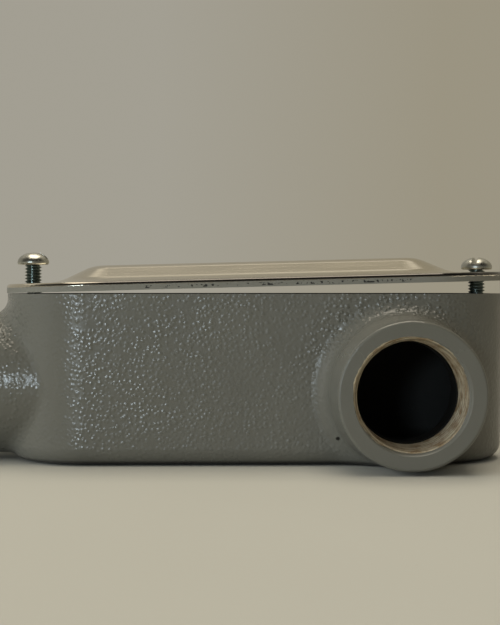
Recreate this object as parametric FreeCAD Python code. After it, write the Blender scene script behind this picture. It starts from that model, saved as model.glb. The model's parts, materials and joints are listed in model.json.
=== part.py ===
"""Threaded conduit body, LR pattern: a cast box that turns electrical conductors through a right angle.

The casting is obround in plan and open on top. It has a threaded hub on its end and another on its side. A
stamped sheet cover with a raised panel closes the top, under two slotted round-head machine screws. The screws
are backed out here, and the cover stands cocked: its hub end is on the rim and its closed end is off it.

Frame: millimetres, +Z up. The origin is the middle of the flat underside. The end hub points along -X and the
side hub along -Y.
"""

import FreeCAD
import Part

import math
import os

V = FreeCAD.Vector
X_AXIS, Y_AXIS, Z_AXIS = V(1, 0, 0), V(0, 1, 0), V(0, 0, 1)

# Cast box: an obround in plan
rim_length = 124.0
rim_past_hub = 3.6  # half the rim's width, past a hub's face radius
rim_above_hub = 6.0  # from the top of the side hub's face to the rim
side_hub_above_foot = 0.8  # from the flat underside to the bottom of the side hub's face
end_hub_above_foot = 1.5
wall = 3.2
floor_thickness = 3.4
draft = 0.75  # degrees, outside and inside
bottom_edge_radius = 4.0
cavity_edge_radius = 3.0

# Threaded hubs for 3/4 trade size conduit
thread_radius = 13.3  # major radius of the thread, cut as a plain bore
thread_depth = 14.0
mouth_chamfer = 0.3
hub_wall = 3.8  # round the thread, at the hub's face
hub_length = 17.6  # from the rim's outline to the hub's face
hub_lip_radius = 0.7  # rounding of the face's outer edge
side_hub_draft = 4.0  # degrees: the hub widens towards the box
end_hub_draft = 1.2
side_hub_root_radius = 4.0  # fillet between the hub and the box
end_hub_root_radius = 4.0
side_hub_inset = 27.1  # from the rim's closed end to the side hub's axis
conduit_stop = 1.45  # height of the shoulder that stops the conduit
passage_lip_radius = 1.2  # rounding of that shoulder, for the conductors

# Bosses that the cover screws are driven into
boss_radius = 4.9
boss_depth = 11.0
boss_cone_depth = 2.4

# Cover screws, No. 8-32 round head
screw_radius = 2.08
screw_length = 12.7
screw_inset = 6.2  # from the rim's end to the screw's axis
screw_tip_chamfer = 0.5
screw_clearance = 0.06  # radial, between the screw and its tapped hole
head_radius = 3.93
head_height = 3.05
head_edge_radius = 0.5  # under the widest part of the head, which is domed from there up
slot_width = 1.4
slot_depth = 1.55

# Cover: stamped sheet with a raised panel
sheet = 2.2
rolled_edge_radius = 0.75
panel_rise = 4.1
panel_slope = 24.0  # degrees, between the panel's two bends
panel_crown_radius = 10.0  # bend at the top of the slope, on the upper face
panel_valley_radius = 14.0  # bend at its foot, on the upper face
panel_past_screw = 3.05  # from a screw's axis to the foot of the panel
flange_width = 4.2  # from the rim's outline to the foot of the panel, along the sides
cover_overhang = 0.15  # past the rim all round
cover_hole_clearance = 0.35  # radial, round a screw

# How the loosened parts stand
cover_tilt = 1.46  # degrees, hub end down
cover_seat_gap = 0.1  # under the cover's low edge
hub_end_head_height = 7.2  # rim to the underside of the screw's head
closed_end_head_height = 6.0
hub_end_slot_turn = 84.0  # degrees from the Y axis
closed_end_slot_turn = -20.0

slack = 1.0  # how far a cutting tool runs past what it cuts

hub_face_radius = thread_radius + hub_wall
passage_radius = thread_radius - conduit_stop
side_hub_height = side_hub_above_foot + hub_face_radius
end_hub_height = end_hub_above_foot + hub_face_radius
box_height = side_hub_height + hub_face_radius + rim_above_hub
rim_radius = hub_face_radius + rim_past_hub
round_end_place = rim_length / 2 - rim_radius
screw_place = rim_length / 2 - screw_inset
side_hub_place = rim_length / 2 - side_hub_inset
cavity_radius = rim_radius - wall
round_end_sagitta = cavity_radius - math.sqrt(cavity_radius**2 - passage_radius**2)
draft_slope = math.tan(math.radians(draft))


def obround(radius_low, radius_high, half_straight, z_low, z_high):
    """A solid obround whose radius changes evenly from z_low to z_high."""
    height = z_high - z_low
    section = Part.makePolygon([
        V(-half_straight, -radius_low, z_low),
        V(-half_straight, radius_low, z_low),
        V(-half_straight, radius_high, z_high),
        V(-half_straight, -radius_high, z_high),
        V(-half_straight, -radius_low, z_low),
    ])
    solid = Part.Face(section).extrude(X_AXIS * 2 * half_straight)
    for x in (-half_straight, half_straight):
        if math.isclose(radius_low, radius_high):
            end = Part.makeCylinder(radius_low, height, V(x, 0, z_low))
        else:
            end = Part.makeCone(radius_low, radius_high, height, V(x, 0, z_low))
        solid = solid.fuse(end)
    return solid.removeSplitter()


def level_edges(solid, z):
    """Edges of a solid that lie at one height."""
    return [e for e in solid.Edges if abs(e.BoundBox.ZMin - z) < 1e-4 and abs(e.BoundBox.ZMax - z) < 1e-4]


def revolved(profile_edges, base, direction):
    """Revolve edges drawn in the XZ plane about Z, with the solid's Z then turned to a direction at base."""
    face = Part.Face(Part.Wire(profile_edges))
    solid = face.revolve(V(0, 0, 0), Z_AXIS, 360)
    solid.Placement = FreeCAD.Placement(base, FreeCAD.Rotation(Z_AXIS, direction))
    return solid


def line(start, end):
    return Part.LineSegment(V(start[0], 0, start[1]), V(end[0], 0, end[1])).toShape()


def polyline(points):
    return [line(a, b) for a, b in zip(points, points[1:])]


def arc(centre, radius, start_degrees, end_degrees):
    """An arc in the XZ plane, with angles from +X towards +Z."""
    def point(degrees):
        turn = math.radians(degrees)
        return V(centre[0] + radius * math.cos(turn), 0, centre[1] + radius * math.sin(turn))
    middle = (start_degrees + end_degrees) / 2
    return Part.Arc(point(start_degrees), point(middle), point(end_degrees)).toShape()


# Each hub: the middle of its face, the way into the box and its draft
end_hub = (V(-rim_length / 2 - hub_length, 0, end_hub_height), X_AXIS, end_hub_draft)
side_hub = (V(side_hub_place, -rim_radius - hub_length, side_hub_height), Y_AXIS, side_hub_draft)


def hub_radius(depth, hub_draft):
    """Radius of a hub's cone at a depth behind its face."""
    return hub_face_radius + depth * math.tan(math.radians(hub_draft))


def make_hub(face_middle, inward, hub_draft):
    """A hub as a solid cone with a rounded lip, reaching from its face to the middle of the box."""
    reach = hub_length + rim_radius
    cone = [(0, 0), (hub_face_radius, 0), (hub_radius(reach, hub_draft), reach), (0, reach), (0, 0)]
    hub = revolved(polyline(cone), face_middle, inward)
    lip = [e for e in hub.Edges if math.isclose(e.Length, 2 * math.pi * hub_face_radius)]
    return hub.makeFillet(hub_lip_radius, lip)


def make_bore(face_middle, inward, _):
    """The tool that cuts a hub's chamfered mouth, thread bore, rounded shoulder and passage.

    The passage runs past the wall as far as the cavity's round end recedes beside the axis.
    """
    passage_end = hub_length + wall + round_end_sagitta + slack
    lip_end = thread_depth + passage_lip_radius
    lip_centre = (passage_radius + passage_lip_radius, lip_end)
    profile = polyline([
        (0, passage_end),
        (0, -slack),
        (thread_radius + mouth_chamfer + slack, -slack),
        (thread_radius, mouth_chamfer),
        (thread_radius, thread_depth),
        (lip_centre[0], thread_depth),
    ])
    profile.append(arc(lip_centre, passage_lip_radius, 270, 180))
    profile += polyline([(passage_radius, lip_end), (passage_radius, passage_end), (0, passage_end)])
    return revolved(profile, face_middle, inward)


def root_edges(solid, face_middle, inward, hub_draft):
    """Edges where a hub's cone meets the box."""
    def on_cone(point):
        depth = (point - face_middle).dot(inward)
        across = (point - face_middle - inward * depth).Length
        return depth > hub_length / 2 and abs(across - hub_radius(depth, hub_draft)) < 0.01

    return [e for e in solid.Edges if all(map(on_cone, e.discretize(5)))]


def make_outer_form():
    """The casting without its hollow: box and hubs with their fillets, standing on the flat underside."""
    below = hub_radius(hub_length + rim_radius, side_hub_draft) - side_hub_height + slack
    low_radius = rim_radius - (box_height + below) * draft_slope
    form = obround(low_radius, rim_radius, round_end_place, -below, box_height)
    form = form.fuse(make_hub(*side_hub)).removeSplitter()
    form = form.makeFillet(side_hub_root_radius, root_edges(form, *side_hub))
    # The side hub's flare reaches below the underside, which is ground flat.
    reach = rim_length + 2 * hub_length
    form = form.common(Part.makeBox(2 * reach, 2 * reach, box_height, V(-reach, -reach, 0)))
    form = form.makeFillet(bottom_edge_radius, level_edges(form, 0))
    form = form.fuse(make_hub(*end_hub)).removeSplitter()
    return form.makeFillet(end_hub_root_radius, root_edges(form, *end_hub))


def make_cavity():
    """The wiring chamber, open at the rim."""
    floor_radius = cavity_radius - (box_height - floor_thickness) * draft_slope
    cavity = obround(floor_radius, cavity_radius, round_end_place, floor_thickness, box_height)
    cavity = cavity.makeFillet(cavity_edge_radius, level_edges(cavity, floor_thickness))
    mouth = obround(cavity_radius, cavity_radius, round_end_place, box_height, box_height + slack)
    return cavity.fuse(mouth)


def make_boss(x):
    """A screw boss hanging from the rim, with a coned foot."""
    foot = box_height - boss_depth
    cylinder = Part.makeCylinder(boss_radius, boss_depth - boss_cone_depth, V(x, 0, foot + boss_cone_depth))
    cone = Part.makeCone(boss_radius - boss_cone_depth, boss_radius, boss_cone_depth, V(x, 0, foot))
    return cylinder.fuse(cone)


def make_casting():
    outer = make_outer_form()
    casting = outer.cut(make_cavity())
    for x in (-screw_place, screw_place):
        casting = casting.fuse(make_boss(x).common(outer))
        tapped_hole = Part.makeCylinder(
            screw_radius + screw_clearance, boss_depth + 2 * slack, V(x, 0, box_height - boss_depth - slack))
        casting = casting.cut(tapped_hole)
    for hub in (end_hub, side_hub):
        casting = casting.cut(make_bore(*hub))
    return casting.removeSplitter()


def panel_section(offset):
    """Half of the raised panel's section, from its middle out to its foot: a crown, a straight slope and a valley.

    The offset is 0 for the sheet's upper face and the sheet's thickness for its lower face.
    """
    turn = math.radians(panel_slope)
    both_bends = panel_crown_radius + panel_valley_radius
    straight = (panel_rise - both_bends * (1 - math.cos(turn))) / math.sin(turn)
    slope_run = both_bends * math.sin(turn) + straight * math.cos(turn)
    foot = rim_radius - flange_width
    low, high = sheet - offset, sheet + panel_rise - offset
    crown_centre = (foot - slope_run, sheet + panel_rise - panel_crown_radius)
    valley_centre = (foot, sheet + panel_valley_radius)
    crown = arc(crown_centre, panel_crown_radius - offset, 90, 90 - panel_slope)
    valley = arc(valley_centre, panel_valley_radius + offset, 270 - panel_slope, 270)
    slope = Part.LineSegment(crown.Vertexes[-1].Point, valley.Vertexes[0].Point).toShape()
    edges = polyline([(foot, low), (foot, low - slack), (0, low - slack), (0, high), (crown_centre[0], high)])
    return Part.Face(Part.Wire(Part.sortEdges(edges + [crown, slope, valley])[0]))


def make_panel(offset):
    """One face of the raised panel as a solid obround: a section run along X and revolved at both ends."""
    half_straight = screw_place - panel_past_screw - (rim_radius - flange_width)
    section = panel_section(offset)
    pieces = []
    for x, side in ((half_straight, 1), (-half_straight, -1)):
        half = section.rotated(V(0, 0, 0), Z_AXIS, 90 * side)
        half.translate(V(x, 0, 0))
        pieces.append(half.revolve(V(x, 0, 0), Z_AXIS, -180))
        pieces.append(half.extrude(X_AXIS * -side * 2 * half_straight))
    panel = pieces[0].fuse(pieces[1:])
    return panel.removeSplitter()


def make_cover():
    """The cover flat on its own plane, then set down cocked on the rim."""
    outline = rim_radius + cover_overhang
    flange = obround(outline, outline, round_end_place, 0, sheet)
    flange = flange.makeFillet(rolled_edge_radius, level_edges(flange, sheet))
    cover = flange.fuse(make_panel(0)).cut(make_panel(sheet))
    for x in (-screw_place, screw_place):
        cover = cover.cut(Part.makeCylinder(screw_radius + cover_hole_clearance, 3 * sheet, V(x, 0, -sheet)))
    cover = cover.removeSplitter()
    cover.rotate(V(-rim_length / 2, 0, 0), Y_AXIS, -cover_tilt)
    cover.translate(Z_AXIS * (box_height + cover_seat_gap))
    return cover


def make_screw(x, underside, slot_turn):
    """A slotted round-head machine screw, its thread left as a plain shank at the major diameter."""
    edges = polyline([
        (0, head_height),
        (0, -screw_length),
        (screw_radius - screw_tip_chamfer, -screw_length),
        (screw_radius, -screw_length + screw_tip_chamfer),
        (screw_radius, 0),
        (head_radius - head_edge_radius, 0),
    ])
    edges.append(arc((head_radius - head_edge_radius, head_edge_radius), head_edge_radius, 270, 360))
    dome = Part.Ellipse(V(head_radius, 0, head_edge_radius), V(0, 0, head_height), V(0, 0, head_edge_radius))
    edges.append(Part.ArcOfEllipse(dome, 0, math.pi / 2).toShape())
    screw = revolved(edges, V(0, 0, 0), Z_AXIS)
    slot = Part.makeBox(
        slot_width, 2 * head_radius + slack, slot_depth + slack,
        V(-slot_width / 2, -head_radius - slack / 2, head_height - slot_depth))
    screw = screw.cut(slot)
    screw.rotate(V(0, 0, 0), Z_AXIS, slot_turn)
    screw.translate(V(x, 0, underside))
    return screw


def main():
    parts = {
        "casting": make_casting(),
        "cover": make_cover(),
        "hub_end_screw": make_screw(-screw_place, box_height + hub_end_head_height, hub_end_slot_turn),
        "closed_end_screw": make_screw(screw_place, box_height + closed_end_head_height, closed_end_slot_turn),
    }
    os.makedirs("parts", exist_ok=True)
    for name, shape in parts.items():
        solid = shape.Solids[0]
        if len(shape.Solids) != 1 or not solid.isValid():
            raise RuntimeError(name + " is not one sound solid")
        solid.exportStep(f"parts/{name}.step")
        print(f"{name}: {solid.Volume / 1000:.2f} cm3, {len(solid.Faces)} faces")


main()
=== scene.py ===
import json
import math

import bpy
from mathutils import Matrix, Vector


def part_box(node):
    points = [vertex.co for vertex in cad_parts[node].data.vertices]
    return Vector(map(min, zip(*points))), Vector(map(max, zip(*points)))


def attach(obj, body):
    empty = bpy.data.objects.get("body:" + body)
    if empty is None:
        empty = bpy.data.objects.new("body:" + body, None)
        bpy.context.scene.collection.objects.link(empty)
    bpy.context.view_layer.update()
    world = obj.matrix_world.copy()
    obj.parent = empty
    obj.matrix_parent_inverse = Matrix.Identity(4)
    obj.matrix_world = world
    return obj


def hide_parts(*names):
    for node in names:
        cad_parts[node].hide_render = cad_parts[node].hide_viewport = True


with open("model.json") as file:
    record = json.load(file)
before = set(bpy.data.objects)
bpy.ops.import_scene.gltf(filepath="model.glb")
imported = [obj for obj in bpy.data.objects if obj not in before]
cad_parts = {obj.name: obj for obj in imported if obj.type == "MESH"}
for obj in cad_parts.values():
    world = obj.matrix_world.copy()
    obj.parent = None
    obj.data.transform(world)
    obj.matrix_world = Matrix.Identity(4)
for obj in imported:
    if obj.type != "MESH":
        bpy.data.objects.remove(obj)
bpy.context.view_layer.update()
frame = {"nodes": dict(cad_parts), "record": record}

mm = 0.001
mounts = {mount["name"]: mount for mount in frame["record"]["mounts"]}
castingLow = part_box("casting")[0]
roundEnd = 41.3 * mm  # from the middle of the box to the axis of each round end
mergeWithin = 0.002 * mm
smoothBelow = 38  # degrees between two faces
noiseRange = (0.3, 0.7)  # most values of a noise texture lie between these
print("frame loaded")


# mesh tools

def pick(piece):
    bpy.ops.object.select_all(action="DESELECT")
    piece.select_set(True)
    bpy.context.view_layer.objects.active = piece


def drawProfile(name, points):
    # a plane is merged to one vertex, which is extruded along the (radius, height) points
    bpy.ops.object.select_all(action="DESELECT")
    bpy.ops.mesh.primitive_plane_add(size=mm)
    piece = bpy.context.object
    piece.name = name
    bpy.ops.object.mode_set(mode="EDIT")
    bpy.ops.mesh.merge(type="CENTER")
    bpy.ops.transform.translate(value=(points[0][0], 0, points[0][1]))
    for start, end in zip(points, points[1:]):
        step = (end[0] - start[0], 0, end[1] - start[1])
        bpy.ops.mesh.extrude_region_move(TRANSFORM_OT_translate={"value": step})
    bpy.ops.object.mode_set(mode="OBJECT")
    return piece


def applyModifier(piece, kind, **settings):
    pick(piece)
    modifier = piece.modifiers.new("step", kind)
    for key, value in settings.items():
        setattr(modifier, key, value)
    bpy.ops.object.modifier_apply(modifier=modifier.name)


def mergeAndOrient():
    bpy.ops.object.mode_set(mode="EDIT")
    bpy.ops.mesh.select_all(action="SELECT")
    bpy.ops.mesh.remove_doubles(threshold=mergeWithin)
    bpy.ops.mesh.normals_make_consistent(inside=False)
    bpy.ops.object.mode_set(mode="OBJECT")


def turned(name, points, steps):
    piece = drawProfile(name, points)
    applyModifier(piece, "SCREW", steps=steps, render_steps=steps)
    mergeAndOrient()
    return piece


def threadedRod(name, thread, length, steps):
    # one pitch of the thread is swept up a helix, then cut flat at both ends
    pitch, crest, root = thread["pitch"], thread["crest"], thread["root"]
    flank = (pitch - thread["crestFlat"] - thread["rootFlat"]) / 2
    rootEnd = -2 * pitch + thread["rootFlat"]
    heights = [-2 * pitch, rootEnd, rootEnd + flank, -pitch - flank, -pitch]
    rod = drawProfile(name, list(zip((root, root, crest, crest, root), heights)))
    applyModifier(rod, "SCREW", steps=steps, render_steps=steps, screw_offset=pitch,
                  iterations=math.ceil(length / pitch) + 2)
    mergeAndOrient()
    bpy.ops.object.mode_set(mode="EDIT")
    for height, way in ((0, -1), (length, 1)):
        bpy.ops.mesh.select_all(action="SELECT")
        bpy.ops.mesh.bisect(plane_co=(0, 0, height), plane_no=(0, 0, way), use_fill=True, clear_outer=True)
    bpy.ops.object.mode_set(mode="OBJECT")
    mergeAndOrient()
    return rod


def lower(piece, drop):
    pick(piece)
    piece.location.z = -drop
    bpy.ops.object.transform_apply(location=True)


def cutWith(piece, tool, operation="DIFFERENCE"):
    applyModifier(piece, "BOOLEAN", object=tool, operation=operation, solver="EXACT")
    bpy.data.objects.remove(tool)


def setDown(piece, place, turn):
    pick(piece)
    piece.location, piece.rotation_euler = place, turn
    bpy.ops.object.transform_apply(location=True, rotation=True, scale=True)
    bpy.ops.object.shade_smooth_by_angle(angle=math.radians(smoothBelow))


# shader tools: a value may be a number or another node's output

def newMaterial(name):
    material = bpy.data.materials.new(name)
    material.use_nodes = True
    tree = material.node_tree
    return material, tree, tree.nodes["Principled BSDF"]


def dress(piece, material):
    piece.data.materials.clear()
    piece.data.materials.append(material)


def plug(tree, value, socket):
    if isinstance(value, bpy.types.NodeSocket):
        tree.links.new(value, socket)
    else:
        socket.default_value = value


def addNode(tree, kind, inputs=None, **settings):
    node = tree.nodes.new(kind)
    for key, value in settings.items():
        setattr(node, key, value)
    for key, value in (inputs or {}).items():
        plug(tree, value, node.inputs[key])
    return node


def doMath(tree, operation, first, second=0.0, third=0.0):
    inputs = {0: first, 1: second, 2: third}
    return addNode(tree, "ShaderNodeMath", inputs, operation=operation).outputs[0]


def multiply(tree, product, *values):
    for value in values:
        product = doMath(tree, "MULTIPLY", product, value)
    return product


def minus(tree, first, second):
    return doMath(tree, "SUBTRACT", first, second)


def larger(tree, first, second):
    return doMath(tree, "MAXIMUM", first, second)


def under(tree, value, limit):
    return doMath(tree, "LESS_THAN", value, limit)


def over(tree, value, limit):
    return doMath(tree, "GREATER_THAN", value, limit)


def length2(tree, first, second):
    squares = doMath(tree, "ADD", multiply(tree, first, first), multiply(tree, second, second))
    return doMath(tree, "SQRT", squares)


def remap(tree, value, fromLow, fromHigh, toLow=0.0, toHigh=1.0):
    inputs = {"Value": value, "From Min": fromLow, "From Max": fromHigh, "To Min": toLow, "To Max": toHigh}
    return addNode(tree, "ShaderNodeMapRange", inputs).outputs[0]


def between(tree, factor, low, high):
    return remap(tree, factor, 0, 1, low, high)


def objectPlace(tree):
    return addNode(tree, "ShaderNodeTexCoord").outputs["Object"]


def moved(tree, place, location=(0, 0, 0), rotation=(0, 0, 0), scale=(1, 1, 1)):
    inputs = {"Vector": place, "Location": location, "Rotation": rotation, "Scale": scale}
    return addNode(tree, "ShaderNodeMapping", inputs).outputs[0]


def split(tree, place):
    return addNode(tree, "ShaderNodeSeparateXYZ", {0: place}).outputs


def noise(tree, place, scale, detail, roughness=0.5):
    inputs = {"Vector": place, "Scale": scale, "Detail": detail, "Roughness": roughness}
    return addNode(tree, "ShaderNodeTexNoise", inputs).outputs[0]


def mixColour(tree, factor, first, second):
    node = addNode(tree, "ShaderNodeMix", {0: factor}, data_type="RGBA")
    plug(tree, first, node.inputs[6])
    plug(tree, second, node.inputs[7])
    return node.outputs[2]


def bump(tree, height, distance, normal=None):
    inputs = {"Height": height, "Distance": distance, "Strength": 1.0}
    if normal is not None:
        inputs["Normal"] = normal
    return addNode(tree, "ShaderNodeBump", inputs).outputs[0]


# hubs, and the thread that is cut into each

hubs = {
    "end": {"mount": mounts["end_hub"], "face": castingLow.x, "along": 0, "across": (1, 2),
            "turn": (0, math.radians(90), 0)},
    "side": {"mount": mounts["side_hub"], "face": castingLow.y, "along": 1, "across": (0, 2),
             "turn": (math.radians(-90), 0, 0)},
}
hubThread = {
    "pitch": 1.814 * mm, "crest": 13.26 * mm, "root": 12.1 * mm,
    "crestFlat": 0.20 * mm, "rootFlat": 0.30 * mm, "taper": 1 / 32,
    "start": 0.3 * mm, "end": 13.95 * mm, "hidden": 13.6 * mm,
    "mouth": 12.6 * mm, "countersink": 1.6 * mm,
    "ringSteps": 128, "tapSteps": 96, "tapPast": 2 * mm,
}


def makeHubThread(name, hub):
    # the tap tapers as it goes in, and what it leaves of a plain ring is the thread
    start, end, mouth = hubThread["start"], hubThread["end"], hubThread["mouth"]
    taper, past, hidden = hubThread["taper"], hubThread["tapPast"], hubThread["hidden"]
    throat = (mouth, start + hubThread["countersink"])
    deep = (mouth - end * taper, end)
    outline = [throat, (hubThread["crest"], start), (hidden, start), (hidden, end), deep, throat]
    ring = turned(name, outline, hubThread["ringSteps"])
    tapLength = end + past + past
    tap = threadedRod("tap", hubThread, tapLength, hubThread["tapSteps"])
    lower(tap, past)
    applyModifier(tap, "SIMPLE_DEFORM", deform_method="TAPER", deform_axis="Z",
                  factor=-tapLength * taper / mouth)
    cutWith(ring, tap)
    place = Vector(hub["mount"]["pos_m"])
    place[hub["along"]] = hub["face"]
    setDown(ring, place, hub["turn"])
    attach(ring, "body")
    return ring


hubThreads = [makeHubThread("endHubThread", hubs["end"]), makeHubThread("sideHubThread", hubs["side"])]
print("hub threads cut")


# cover screws: No. 8-32, slotted round head

coverScrew = {
    "length": 12.7 * mm, "headRadius": 3.93 * mm, "headHeight": 3.05 * mm, "headEdge": 0.5 * mm,
    "slotWidth": 1.4 * mm, "slotDepth": 1.55 * mm, "tip": 0.5 * mm, "shankInHead": 0.4 * mm,
    "bevel": 0.07 * mm, "bevelAngle": 65,
    "thread": {"pitch": 0.794 * mm, "crest": 2.08 * mm, "root": 1.60 * mm,
               "crestFlat": 0.10 * mm, "rootFlat": 0.16 * mm},
    "rodSpare": 1 * mm, "rodDrop": 0.2 * mm,
    "edgeStep": 15, "domeStep": 6, "steps": 72, "threadSteps": 48,
    "slotTurns": {"hub_end_screw": 84, "closed_end_screw": -20},
}


def makeCoverScrew(name, node):
    radius, height, edge = coverScrew["headRadius"], coverScrew["headHeight"], coverScrew["headEdge"]
    length, crest, tip = coverScrew["length"], coverScrew["thread"]["crest"], coverScrew["tip"]
    outline = [(0, 0)]
    for degrees in range(-90, 1, coverScrew["edgeStep"]):
        turn = math.radians(degrees)
        outline.append((radius - edge + edge * math.cos(turn), edge + edge * math.sin(turn)))
    for degrees in range(coverScrew["domeStep"], 91, coverScrew["domeStep"]):
        turn = math.radians(degrees)
        outline.append((radius * math.cos(turn), edge + (height - edge) * math.sin(turn)))
    head = turned(name, outline, coverScrew["steps"])

    top = coverScrew["shankInHead"]
    shankOutline = [(0, -length), (crest - tip, -length), (crest, tip - length), (crest, top), (0, top)]
    blank = turned("blank", shankOutline, coverScrew["steps"])
    rodLength = length + coverScrew["rodSpare"]
    shank = threadedRod("shank", coverScrew["thread"], rodLength, coverScrew["threadSteps"])
    lower(shank, length + coverScrew["rodDrop"])
    cutWith(shank, blank, "INTERSECT")
    cutWith(head, shank, "UNION")

    slotSize = (coverScrew["slotWidth"], 3 * radius, 2 * coverScrew["slotDepth"])
    bpy.ops.object.select_all(action="DESELECT")
    bpy.ops.mesh.primitive_cube_add(size=1, location=(0, 0, height), scale=slotSize)
    cutWith(head, bpy.context.object)
    applyModifier(head, "BEVEL", width=coverScrew["bevel"], segments=2, limit_method="ANGLE",
                  angle_limit=math.radians(coverScrew["bevelAngle"]))
    low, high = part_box(node)
    place = ((low.x + high.x) / 2, (low.y + high.y) / 2, low.z + length)
    setDown(head, place, (0, 0, math.radians(coverScrew["slotTurns"][node])))
    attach(head, node)
    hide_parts(node)
    return head


coverScrews = [makeCoverScrew("hubEndScrew", "hub_end_screw"),
               makeCoverScrew("closedEndScrew", "closed_end_screw")]
print("cover screws made")


# bare bores, where the tap went through the paint

bareMetal = {
    "colour": (0.57, 0.50, 0.37, 1), "stain": (0.26, 0.165, 0.08, 1), "roughness": (0.42, 0.6),
    "shift": (-0.5 * mm, 0.45 * mm), "radii": (12.7 * mm, 13.6 * mm), "raggedScale": 380,
    "widest": 14.75 * mm, "depth": 14.2 * mm, "paintDepth": 1.3 * mm,
    "shoulderStains": {"scale": 330, "uneven": 0.6, "low": 0.45, "high": 0.7}, "shoulderMetallic": 0.9,
    "threadStains": {"scale": 300, "uneven": 0.65, "low": 0.42, "high": 0.68}, "threadMetallic": 0.65,
    "grainScale": 1500, "grainDepth": 0.03 * mm,
}


def hubPlace(tree, place, hub, shift=(0, 0)):
    # distance from the hub's axis, and depth behind its face
    axis = hub["mount"]["pos_m"]
    parts = split(tree, place)
    depth = minus(tree, parts[hub["along"]], hub["face"])
    first, second = [minus(tree, parts[i], axis[i] + off) for i, off in zip(hub["across"], shift)]
    return length2(tree, first, second), depth


def bareMask(tree, place, hub):
    # the bare circle round the mouth is ragged and off centre
    radius, depth = hubPlace(tree, place, hub, bareMetal["shift"])
    low, high = bareMetal["radii"]
    ragged = noise(tree, place, bareMetal["raggedScale"], 3, 0.6)
    atMouth = under(tree, radius, doMath(tree, "MULTIPLY_ADD", ragged, high - low, low))
    inside = over(tree, depth, bareMetal["paintDepth"])
    near = under(tree, radius, bareMetal["widest"])
    return multiply(tree, near, larger(tree, atMouth, inside)), depth


def stainedMetal(tree, place, scale, uneven, low, high):
    stains = remap(tree, noise(tree, place, scale, 4, uneven), low, high)
    return mixColour(tree, stains, bareMetal["colour"], bareMetal["stain"]), stains


def makeBareMetal(name, hub):
    material, tree, shader = newMaterial(name)
    place = objectPlace(tree)
    mask = bareMask(tree, place, hub)[0]
    metal, stains = stainedMetal(tree, place, **bareMetal["threadStains"])
    plug(tree, mixColour(tree, mask, enamel["colour"], metal), shader.inputs["Base Color"])
    plug(tree, multiply(tree, mask, bareMetal["threadMetallic"]), shader.inputs["Metallic"])
    plug(tree, between(tree, stains, *bareMetal["roughness"]), shader.inputs["Roughness"])
    grain = noise(tree, place, bareMetal["grainScale"], 3)
    plug(tree, bump(tree, grain, bareMetal["grainDepth"]), shader.inputs["Normal"])
    return material


# enamel: pebbles on a gentle swell, coarse over the hub roots, thin to the right, smooth on the collars;
# painted shade inside the box, in the pit and along the foot

enamel = {
    "colour": (0.122, 0.120, 0.101, 1), "shade": (0.099, 0.098, 0.084, 1), "shadeScale": 60,
    "roughness": (0.20, 0.27), "roughnessScale": 150,
    "pebbleScale": 960, "pebbleReach": 0.66, "pebbleDepth": 0.064 * mm,
    "pebbleUneven": (0.5, 1.3), "unevenScale": 110,
    "swellScale": 420, "swellDepth": 0.06 * mm, "grainScale": 2600, "grainDepth": 0.016 * mm,
    "thinFrom": (-25 * mm, 15 * mm), "thinRoughness": 0.10, "thinSwell": 1.7, "thinPebble": 0.72,
    "rootRadii": (28 * mm, 21 * mm), "rootDepths": (26 * mm, 20 * mm),
    "rootHeights": (22 * mm, 31 * mm), "rootCoarse": 2.6,
    "collarRadii": (20.3 * mm, 19.8 * mm), "collarDepths": (12.8 * mm, 11.3 * mm), "collarCoarse": 0.08,
    "chamberRadius": 17.75 * mm, "chamberFloor": 3.0 * mm,
    "passageRadius": 13.2 * mm, "passageEnd": 27.0 * mm,
    # inside: a near-black colour for the chamber, the passages and the pit, as painted shade for the dark
    # inside the closed box
    "inside": (0.004, 0.004, 0.003, 1), "insideRoughness": 0.8,
    # painted contact shade: a near-black foot where the body meets the floor
    "grime": (0.016, 0.015, 0.013, 1), "grimeHeights": (1.3 * mm, 0.6 * mm),
    # pit: dented by a bump, and its near-black colour is painted shade in the dent
    "pitPlace": (19.2 * mm, 6.6 * mm), "pitRadii": (0.5 * mm, 0.3 * mm),
    "pitFront": -18 * mm, "pitDepth": 0.3 * mm,
}


def obroundRadius(tree, place):
    # distance from the line between the two round ends' axes, and height
    x, y, z = split(tree, place)
    past = larger(tree, minus(tree, doMath(tree, "ABSOLUTE", x), roundEnd), 0.0)
    return length2(tree, past, y), z


def hubMasks(tree, place):
    bare, collar, passages, root = 0.0, 0.0, 0.0, 0.0
    for hub in hubs.values():
        mask, depth = bareMask(tree, place, hub)
        shallow = under(tree, depth, bareMetal["depth"])
        bare = larger(tree, bare, multiply(tree, mask, shallow))
        radius, depth = hubPlace(tree, place, hub)
        onCollar = multiply(tree, remap(tree, radius, *enamel["collarRadii"]),
                            remap(tree, depth, *enamel["collarDepths"]))
        collar = larger(tree, collar, onCollar)
        nearRoot = multiply(tree, remap(tree, radius, *enamel["rootRadii"]),
                            remap(tree, depth, *enamel["rootDepths"]))
        root = larger(tree, root, nearRoot)
        passage = multiply(tree, under(tree, radius, enamel["passageRadius"]),
                           over(tree, depth, bareMetal["depth"]),
                           under(tree, depth, enamel["passageEnd"]))
        passages = larger(tree, passages, passage)
    return bare, collar, passages, root


def pitMask(tree, x, y, z):
    pitX, pitZ = enamel["pitPlace"]
    fromPit = length2(tree, minus(tree, x, pitX), minus(tree, z, pitZ))
    return multiply(tree, remap(tree, fromPit, *enamel["pitRadii"]), under(tree, y, enamel["pitFront"]))


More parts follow.
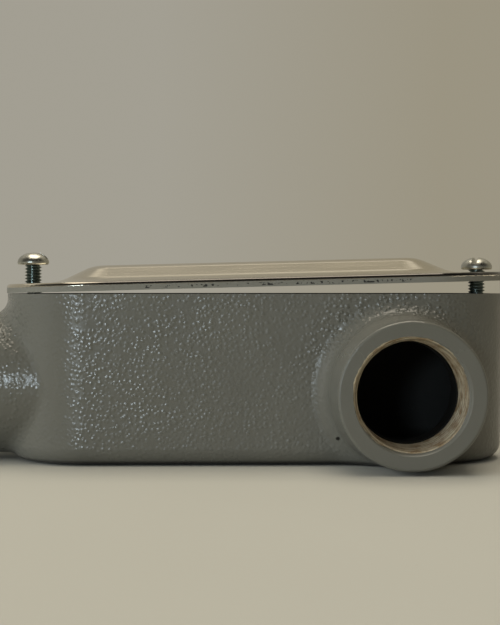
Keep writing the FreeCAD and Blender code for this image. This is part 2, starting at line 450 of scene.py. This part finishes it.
def enamelSkin(tree, place, coarse, thin, pit):
    cells = {"Vector": place, "Scale": enamel["pebbleScale"], "Randomness": 1.0}
    fromCell = addNode(tree, "ShaderNodeTexVoronoi", cells, feature="F1").outputs["Distance"]
    inward = remap(tree, multiply(tree, fromCell, fromCell), enamel["pebbleReach"] ** 2, 0)
    uneven = remap(tree, noise(tree, place, enamel["unevenScale"], 2), *noiseRange, *enamel["pebbleUneven"])
    uneven = multiply(tree, uneven, between(tree, thin, 1.0, enamel["thinPebble"]))
    pebbles = multiply(tree, inward, inward, uneven, coarse)
    swell = noise(tree, place, enamel["swellScale"], 2)
    swell = multiply(tree, swell, between(tree, thin, 1.0, enamel["thinSwell"]), coarse)
    skin = bump(tree, swell, enamel["swellDepth"])
    skin = bump(tree, pebbles, enamel["pebbleDepth"], skin)
    skin = bump(tree, noise(tree, place, enamel["grainScale"], 2), enamel["grainDepth"], skin)
    return bump(tree, minus(tree, 1.0, pit), enamel["pitDepth"], skin)


def makeEnamel():
    material, tree, shader = newMaterial("greyEnamel")
    place = objectPlace(tree)
    x, y, z = split(tree, place)
    bare, collar, passages, root = hubMasks(tree, place)
    around, height = obroundRadius(tree, place)
    chamber = multiply(tree, under(tree, around, enamel["chamberRadius"]),
                       over(tree, height, enamel["chamberFloor"]))
    deep = larger(tree, passages, chamber)
    pit = pitMask(tree, x, y, z)

    shade = noise(tree, place, enamel["shadeScale"], 4)
    paint = mixColour(tree, shade, enamel["shade"], enamel["colour"])
    # painted shade in the pit
    paint = mixColour(tree, pit, paint, enamel["inside"])
    # painted shade: the chamber and the passages behind the threads are coloured near black, for the dark
    # inside the closed box
    paint = mixColour(tree, deep, paint, enamel["inside"])
    # painted contact shade: darker towards the bottom, near black below 0.6 mm, for the shadow at the floor
    paint = mixColour(tree, remap(tree, z, *enamel["grimeHeights"]), paint, enamel["grime"])
    metal = stainedMetal(tree, place, **bareMetal["shoulderStains"])[0]
    plug(tree, mixColour(tree, bare, paint, metal), shader.inputs["Base Color"])
    plug(tree, multiply(tree, bare, bareMetal["shoulderMetallic"]), shader.inputs["Metallic"])

    rootTop = multiply(tree, root, remap(tree, z, *enamel["rootHeights"]))
    thin = minus(tree, remap(tree, x, *enamel["thinFrom"]), rootTop)
    gloss = noise(tree, place, enamel["roughnessScale"], 3)
    gloss = remap(tree, gloss, *noiseRange, *enamel["roughness"])
    gloss = doMath(tree, "MULTIPLY_ADD", thin, enamel["thinRoughness"], gloss)
    gloss = larger(tree, gloss, multiply(tree, deep, enamel["insideRoughness"]))
    plug(tree, gloss, shader.inputs["Roughness"])

    coarse = doMath(tree, "MULTIPLY_ADD", rootTop, enamel["rootCoarse"], 1.0)
    coarse = multiply(tree, coarse, between(tree, collar, 1.0, enamel["collarCoarse"]))
    plug(tree, enamelSkin(tree, place, coarse, thin, pit), shader.inputs["Normal"])
    return material


# cover: polished face, an edge left by the blanking die, and a painted dark reflection along the top of that
# edge

coverFinish = {
    "colour": (0.695, 0.645, 0.54, 1), "roughness": (0.11, 0.18),
    "streaks": (60, 1800, 1800), "streakDepth": 0.004 * mm,
    "pivot": (-62.0 * mm, 0, 41.1 * mm), "tilt": 1.46,
    "edgeRadii": (20.73 * mm, 20.81 * mm), "edgeMarks": (1800, 1800, 60), "edgeMarkDepth": 0.02 * mm,
    # painted dark reflection: a near-black band along the top of the edge, for the dark room mirrored there
    "dieLine": (0.10, 0.095, 0.088, 1), "dieLineRadii": (20.05 * mm, 20.35 * mm),
    "dieLineHeights": (1.35 * mm, 1.45 * mm), "dieLineStart": (-52 * mm, -36 * mm),
    "fracture": (0.215, 0.21, 0.18, 1), "fractureTops": (1.05 * mm, 1.55 * mm),
    "fractureScale": 500, "fractureStretch": (1, 1, 0.1),
    "fractureMetallic": 0.4, "fractureRoughness": 0.62,
    "gritScale": 2200, "gritDepth": 0.12 * mm,
    "speck": (0.02, 0.02, 0.018, 1), "speckScale": 1500, "speckStretch": (0.8, 0.8, 0.9),
    "clumpScale": 95, "clumpStretch": (1, 1, 0.05), "clumpWeight": 0.5, "speckLimit": 0.83,
    "speckHeights": (0.35 * mm, 1.0 * mm), "specksMiddle": 5.5 * mm, "specksReach": 32 * mm,
}


def speckMask(tree, place, height, edge):
    low, high = coverFinish["speckHeights"]
    band = multiply(tree, over(tree, height, low), under(tree, height, high))
    marks = noise(tree, moved(tree, place, scale=coverFinish["speckStretch"]), coverFinish["speckScale"], 2)
    clumps = noise(tree, moved(tree, place, scale=coverFinish["clumpStretch"]), coverFinish["clumpScale"], 1)
    marks = doMath(tree, "ADD", marks, multiply(tree, clumps, coverFinish["clumpWeight"]))
    fromMiddle = doMath(tree, "ABSOLUTE", minus(tree, split(tree, place)[0], coverFinish["specksMiddle"]))
    near = under(tree, fromMiddle, coverFinish["specksReach"])
    return multiply(tree, over(tree, marks, coverFinish["speckLimit"]), band, edge, near)


def makePolish():
    material, tree, shader = newMaterial("polishedSheet")
    # the pattern lies in the cover's own plane, which is tilted about its hub end
    pivot = coverFinish["pivot"]
    fromPivot = moved(tree, objectPlace(tree), location=[-v for v in pivot])
    place = moved(tree, fromPivot, (pivot[0], 0, 0), (0, math.radians(coverFinish["tilt"]), 0))
    around, height = obroundRadius(tree, place)
    edge = remap(tree, around, *coverFinish["edgeRadii"])
    low, high = coverFinish["fractureTops"]
    stretched = moved(tree, place, scale=coverFinish["fractureStretch"])
    ragged = noise(tree, stretched, coverFinish["fractureScale"], 3)
    ragged = doMath(tree, "MULTIPLY_ADD", ragged, high - low, low)
    torn = multiply(tree, edge, under(tree, height, ragged))
    # painted dark reflection on the top of the edge, fading in from the hub end
    paintedReflectionMask = multiply(tree, remap(tree, height, *coverFinish["dieLineHeights"]),
                    remap(tree, around, *coverFinish["dieLineRadii"]),
                    remap(tree, split(tree, place)[0], *coverFinish["dieLineStart"]))
    specks = speckMask(tree, place, height, edge)

    colour = mixColour(tree, torn, coverFinish["colour"], coverFinish["fracture"])
    colour = mixColour(tree, paintedReflectionMask, colour, coverFinish["dieLine"])
    plug(tree, mixColour(tree, specks, colour, coverFinish["speck"]), shader.inputs["Base Color"])
    plug(tree, between(tree, torn, 1.0, coverFinish["fractureMetallic"]), shader.inputs["Metallic"])
    streaks = noise(tree, moved(tree, place, scale=coverFinish["streaks"]), 1, 3)
    face = remap(tree, streaks, *noiseRange, *coverFinish["roughness"])
    gloss = larger(tree, face, multiply(tree, torn, coverFinish["fractureRoughness"]))
    plug(tree, gloss, shader.inputs["Roughness"])
    skin = bump(tree, streaks, coverFinish["streakDepth"])
    drawn = noise(tree, moved(tree, place, scale=coverFinish["edgeMarks"]), 1, 2)
    skin = bump(tree, multiply(tree, drawn, edge), coverFinish["edgeMarkDepth"], skin)
    grit = multiply(tree, noise(tree, place, coverFinish["gritScale"], 3), torn)
    plug(tree, bump(tree, grit, coverFinish["gritDepth"], skin), shader.inputs["Normal"])
    return material


# zinc on the screws, with painted shade on the thread: darker below the head

zinc = {
    # thread: painted shade, a darker zinc for the shadow under the head
    "colour": (0.46, 0.46, 0.415, 1), "thread": (0.18, 0.22, 0.205, 1), "underHead": 0.05 * mm,
    "roughness": (0.24, 0.36), "dullScale": 700, "dullDepth": 0.01 * mm,
}


def makeZinc(name, node):
    material, tree, shader = newMaterial(name)
    place = objectPlace(tree)
    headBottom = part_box(node)[0].z + coverScrew["length"]
    # painted shade: the shank below the head gets the darker thread colour
    paintedShadeShank = under(tree, split(tree, place)[2], headBottom - zinc["underHead"])
    dull = noise(tree, place, zinc["dullScale"], 3)
    plug(tree, mixColour(tree, paintedShadeShank, zinc["colour"], zinc["thread"]), shader.inputs["Base Color"])
    plug(tree, remap(tree, dull, *noiseRange, *zinc["roughness"]), shader.inputs["Roughness"])
    shader.inputs["Metallic"].default_value = 1.0
    plug(tree, bump(tree, dull, zinc["dullDepth"]), shader.inputs["Normal"])
    return material


dress(frame["nodes"]["casting"], makeEnamel())
dress(frame["nodes"]["cover"], makePolish())
for piece, name, hub in zip(hubThreads, ("endBoreMetal", "sideBoreMetal"), hubs.values()):
    dress(piece, makeBareMetal(name, hub))
for piece, name, node in zip(coverScrews, ("hubEndZinc", "closedEndZinc"), coverScrew["slotTurns"]):
    dress(piece, makeZinc(name, node))
print("materials made")


# studio: a pale floor that fades into the wall, and four soft lamps

room = {
    "backColour": (0.365, 0.345, 0.290, 1),
    "rightColour": (0.325, 0.295, 0.222, 1), "rightFrom": (-0.05, 0.15),
    "frontColour": (0.19, 0.18, 0.15, 1), "frontFrom": (0.1, -0.15),
    "darkColour": (0.045, 0.042, 0.036, 1), "darkFrom": (0.2, 0.5),
    "bandColour": (0.80, 0.74, 0.62, 1), "bandFoot": (0.62, 0.66), "bandTop": (0.73, 0.69),
    "bandFrom": (0.2, 0.4),
    "fill": (1.05, 0.40), "fillReach": 0.9,
}
floorFinish = {
    "size": 6, "drop": 0.0002, "colour": (0.475, 0.472, 0.424, 1), "shade": 0.93, "shadeScale": 9,
    "roughness": 0.8, "fade": (0.5, 1.3), "front": (0.0, -0.4),
}
lamps = {
    "windowLamp": {"place": (-0.47, -1.48, 0.19), "target": (0, 0, 0.02), "size": (0.16, 0.16),
                   "power": 3.9, "colour": (0.76, 0.90, 1.0), "shines": True},
    "softLamp": {"place": (0.1, -1.0, 1.2), "target": (0, 0, 0), "size": (1.6, 1.0),
                 "power": 3.5, "colour": (1.0, 0.93, 0.83), "shines": False},
    "sideLamp": {"place": (-1.3, -0.5, 0.35), "target": (0, 0, 0.02), "size": (1.0, 0.8),
                 "power": 14.0, "colour": (0.92, 0.97, 1.0), "shines": False},
    "ceilingLamp": {"place": (0.0, 0.14, 1.15), "target": (0, 0, 0), "size": (0.75, 0.95),
                    "power": 8.7, "colour": (1.0, 0.90, 0.74), "shines": True},
}
view = {
    "place": (-6.7 * mm, -351.2 * mm, 43.1 * mm), "turn": (90 - 1.13, 0, -0.87),
    "lens": 80.3, "sensor": 36, "nearest": 0.02,
}


def seenDirectly(tree, rays):
    seen = larger(tree, rays["Is Camera Ray"], rays["Is Glossy Ray"])
    return larger(tree, seen, rays["Is Transmission Ray"])


def wallColour(tree, sideways):
    toRight = remap(tree, sideways, *room["rightFrom"])
    return mixColour(tree, toRight, room["backColour"], room["rightColour"])


def makeFloor():
    bpy.ops.object.select_all(action="DESELECT")
    bpy.ops.mesh.primitive_plane_add(size=floorFinish["size"], location=(0, 0, -floorFinish["drop"]))
    floor = bpy.context.object
    floor.name = "floor"
    material, tree, shader = newMaterial("paleFloor")
    place = objectPlace(tree)
    rays = addNode(tree, "ShaderNodeLightPath").outputs
    x, y = split(tree, place)[:2]
    colour = floorFinish["colour"]
    darker = [floorFinish["shade"] * v for v in colour[:3]] + [1]
    mottle = noise(tree, place, floorFinish["shadeScale"], 3)
    plug(tree, mixColour(tree, mottle, darker, colour), shader.inputs["Base Color"])
    shader.inputs["Roughness"].default_value = floorFinish["roughness"]
    away = length2(tree, x, y)
    far = multiply(tree, remap(tree, away, *floorFinish["fade"]), seenDirectly(tree, rays))
    front = multiply(tree, rays["Is Glossy Ray"], remap(tree, y, *floorFinish["front"]))
    horizon = wallColour(tree, doMath(tree, "DIVIDE", x, away))
    horizon = mixColour(tree, front, horizon, room["frontColour"])
    glow = addNode(tree, "ShaderNodeEmission", {"Color": horizon}).outputs[0]
    blend = addNode(tree, "ShaderNodeMixShader", {0: far, 1: shader.outputs[0], 2: glow}).outputs[0]
    plug(tree, blend, tree.nodes["Material Output"].inputs["Surface"])
    dress(floor, material)


def makeWorld():
    # reflections see a room that is dim in front, dark above that, and bright in a band high at the back
    world = bpy.data.worlds.new("room")
    bpy.context.scene.world = world
    world.use_nodes = True
    tree = world.node_tree
    background = tree.nodes["Background"]
    rays = addNode(tree, "ShaderNodeLightPath").outputs
    x, y, z = split(tree, addNode(tree, "ShaderNodeTexCoord").outputs["Generated"])
    front = remap(tree, y, *room["frontFrom"])
    dark = multiply(tree, remap(tree, z, *room["darkFrom"]), front)
    band = multiply(tree, remap(tree, z, *room["bandFoot"]), remap(tree, z, *room["bandTop"]),
                    remap(tree, y, *room["bandFrom"]))
    wall = wallColour(tree, x)
    reflected = mixColour(tree, front, wall, room["frontColour"])
    reflected = mixColour(tree, dark, reflected, room["darkColour"])
    reflected = mixColour(tree, band, reflected, room["bandColour"])
    plug(tree, mixColour(tree, rays["Is Glossy Ray"], wall, reflected), background.inputs["Color"])
    fill = remap(tree, x, -room["fillReach"], room["fillReach"], *room["fill"])
    strength = between(tree, seenDirectly(tree, rays), fill, 1.0)
    plug(tree, strength, background.inputs["Strength"])


def makeLamp(name, place, target, size, power, colour, shines):
    data = bpy.data.lights.new(name, "AREA")
    data.shape = "RECTANGLE"
    data.size, data.size_y = size
    data.energy = power
    data.color = colour
    lamp = bpy.data.objects.new(name, data)
    bpy.context.collection.objects.link(lamp)
    lamp.visible_glossy = shines
    lamp.location = place
    lamp.rotation_euler = (Vector(target) - Vector(place)).to_track_quat("-Z", "Y").to_euler()


def makeCamera():
    data = bpy.data.cameras.new("camera")
    data.sensor_width = view["sensor"]
    data.lens = view["lens"]
    data.clip_start = view["nearest"]
    camera = bpy.data.objects.new("camera", data)
    bpy.context.collection.objects.link(camera)
    camera.location = view["place"]
    camera.rotation_euler = [math.radians(v) for v in view["turn"]]
    bpy.context.scene.camera = camera


makeCamera()
makeFloor()
makeWorld()
for name, lamp in lamps.items():
    makeLamp(name, **lamp)
bpy.context.scene.view_settings.view_transform = "Standard"
print("studio set")
